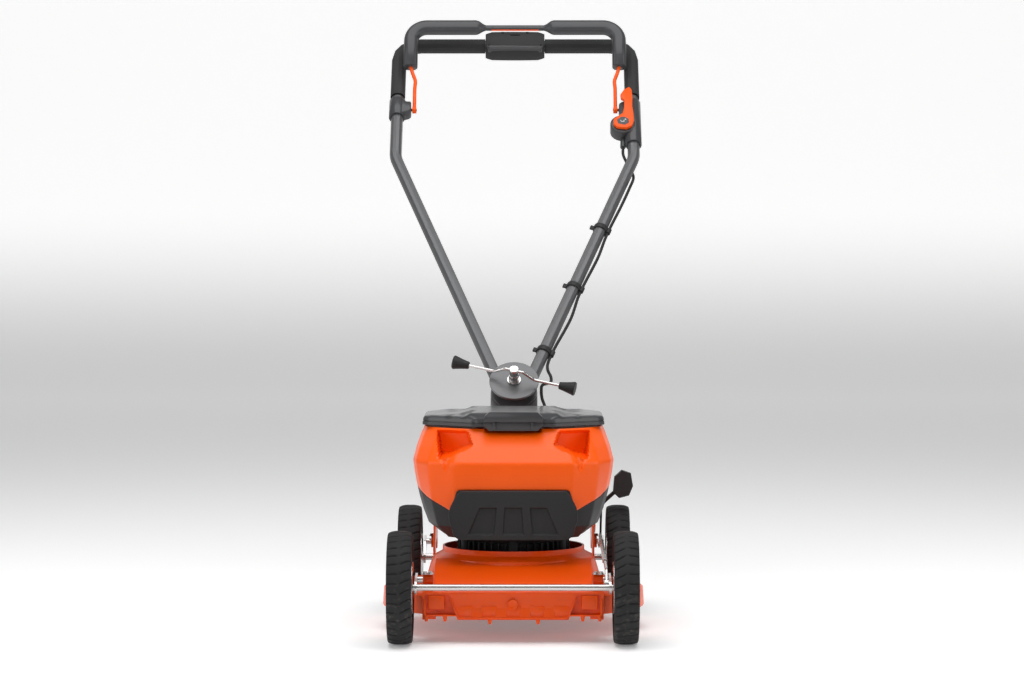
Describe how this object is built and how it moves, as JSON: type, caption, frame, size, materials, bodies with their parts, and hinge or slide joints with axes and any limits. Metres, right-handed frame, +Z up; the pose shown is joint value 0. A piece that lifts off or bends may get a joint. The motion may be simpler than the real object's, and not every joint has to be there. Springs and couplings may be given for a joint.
{
  "type": "push lawn mower",
  "caption": "Compact battery push mower: round deck, moulded body with a lid, wheels on linked cranks and a bail handle on a clamped swivel.",
  "frame": {"origin": "on the ground under the middle of the whole mower's box", "axes": "-Y is the mower's front, +Y is where the user stands, +X is the mower's left-hand side, +Z is up"},
  "size_m": [0.521, 1.3792, 1.1618],
  "materials": {
    "deck": "satin orange powder coat",
    "orange_shell": "moulded orange, semi-gloss",
    "orange_lever": "moulded orange, semi-gloss",
    "black_plastic": "moulded black with fine grain",
    "grey_plastic": "moulded dark grey, satin",
    "rim": "moulded dark grey",
    "tyre": "black rubber with a moulded tread",
    "grip": "soft black grip cover",
    "cable": "black cable sheath",
    "tube": "satin dark grey powder coat",
    "steel": "zinc plated",
    "blade": "dark hardened steel with ground edges",
    "cast": "as cast"
  },
  "bodies": {
    "chassis": {"deck": "deck", "front_clamp_left": "deck", "front_clamp_right": "deck", "rear_clamp_left": "deck", "rear_clamp_right": "deck", "rear_bracket": "deck", "quadrant": "deck", "motor_mount": "black_plastic", "motor_can": "cast", "controller": "cast", "skirt": "black_plastic", "front_cover": "black_plastic", "hood": "orange_shell", "lid_pin": "steel", "battery_bay": "black_plastic", "swivel_plate": "tube", "cable_tail": "cable"},
    "cutter": {"rotor_shaft": "steel", "blade_hub": "cast", "blade": "blade", "blade_bolt": "steel"},
    "lid": {"lid": "grey_plastic"},
    "latch": {"lid_latch": "grey_plastic"},
    "battery": {"battery_pack": "grey_plastic"},
    "rear_axle": {"rear_axle": "steel", "height_lever": "black_plastic", "lever_knob": "black_plastic"},
    "front_axle": {"front_axle": "steel"},
    "link": {"link_rod": "steel"},
    "front_wheel_left": {"front_tyre_left": "tyre", "front_rim_left": "rim"},
    "front_wheel_right": {"front_tyre_right": "tyre", "front_rim_right": "rim"},
    "rear_wheel_left": {"rear_tyre_left": "tyre", "rear_rim_left": "rim"},
    "rear_wheel_right": {"rear_tyre_right": "tyre", "rear_rim_right": "rim"},
    "handle": {"swivel_yoke": "tube", "tube_left": "tube", "tube_right": "tube", "upper_bar": "tube", "grip_left": "grip", "grip_right": "grip", "control_panel": "grey_plastic", "switch_pod": "black_plastic", "joint_housing": "black_plastic", "cable_clip_1": "black_plastic", "cable_clip_2": "black_plastic", "cable_clip_3": "black_plastic", "control_cable": "cable"},
    "clamp": {"clamp_bolt": "steel", "clamp_bar": "steel", "clamp_knob_left": "black_plastic", "clamp_knob_right": "black_plastic"},
    "bail": {"bail_frame": "orange_lever", "bail_cover_left": "grey_plastic", "bail_cover_right": "grey_plastic"},
    "thumb_lever": {"thumb_lever": "orange_lever"},
    "start_button": {"start_button": "orange_lever"}
  },
  "joints": [
    {"name": "cutter_spin", "type": "hinge", "parent": "chassis", "child": "cutter", "pos_m": [0, -0.32956, 0.1], "axis": [0, 0, 1], "continuous": true},
    {"name": "lid_hinge", "type": "hinge", "parent": "chassis", "child": "lid", "pos_m": [0, -0.16106, 0.3765], "axis": [1, 0, 0], "range_deg": [-85, 0]},
    {"name": "latch_hinge", "type": "hinge", "parent": "lid", "child": "latch", "pos_m": [0, -0.43086, 0.3975], "axis": [1, 0, 0], "range_deg": [-20, 0], "stiffness_Nm_per_rad": 0.3, "springref_deg": 14.32},
    {"name": "battery_lift", "type": "slide", "parent": "chassis", "child": "battery", "axis": [0, 0, 1], "range_m": [0, 0.03]},
    {"name": "cutting_height", "type": "hinge", "parent": "chassis", "child": "rear_axle", "pos_m": [0, -0.00956, 0.124], "axis": [1, 0, 0], "range_deg": [-15, 12.5]},
    {"name": "front_crank", "type": "hinge", "parent": "chassis", "child": "front_axle", "pos_m": [0, -0.53456, 0.108], "axis": [1, 0, 0], "range_deg": [-15.5, 13]},
    {"name": "link_pivot", "type": "hinge", "parent": "front_axle", "child": "link", "pos_m": [0.165, -0.57456, 0.106], "axis": [1, 0, 0], "range_deg": [-13, 15.5]},
    {"name": "front_left_roll", "type": "hinge", "parent": "front_axle", "child": "front_wheel_left", "pos_m": [0.1985, -0.58956, 0.1], "axis": [1, 0, 0], "continuous": true},
    {"name": "front_right_roll", "type": "hinge", "parent": "front_axle", "child": "front_wheel_right", "pos_m": [-0.1985, -0.58956, 0.1], "axis": [1, 0, 0], "continuous": true},
    {"name": "rear_left_roll", "type": "hinge", "parent": "rear_axle", "child": "rear_wheel_left", "pos_m": [0.1985, -0.06956, 0.1], "axis": [1, 0, 0], "continuous": true},
    {"name": "rear_right_roll", "type": "hinge", "parent": "rear_axle", "child": "rear_wheel_right", "pos_m": [-0.1985, -0.06956, 0.1], "axis": [1, 0, 0], "continuous": true},
    {"name": "handle_swing", "type": "hinge", "parent": "chassis", "child": "handle", "pos_m": [0, -0.02956, 0.425], "axis": [0, -0.7071, 0.7071], "range_deg": [-20, 20]},
    {"name": "clamp_turn", "type": "hinge", "parent": "chassis", "child": "clamp", "pos_m": [0, -0.02956, 0.425], "axis": [0, -0.7071, 0.7071], "range_deg": [0, 60]},
    {"name": "bail_hinge", "type": "hinge", "parent": "handle", "child": "bail", "pos_m": [0, 0.51844, 0.97301], "axis": [1, 0, 0], "range_deg": [-7, 0], "stiffness_Nm_per_rad": 4, "springref_deg": 17.19},
    {"name": "thumb_hinge", "type": "hinge", "parent": "handle", "child": "thumb_lever", "pos_m": [0.2235, 0.47672, 0.93129], "axis": [0, -0.7071, 0.7071], "range_deg": [0, 22], "stiffness_Nm_per_rad": 0.3, "springref_deg": -22.92},
    {"name": "start_press", "type": "slide", "parent": "handle", "child": "start_button", "axis": [0, 0.7071, -0.7071], "range_m": [0, 0.0025], "stiffness_N_per_m": 200, "springref_m": -0.005}
  ],
  "couplings": [
    {"joint": "front_crank", "follows": "cutting_height", "ratio": 1},
    {"joint": "link_pivot", "follows": "cutting_height", "ratio": -1}
  ]
}
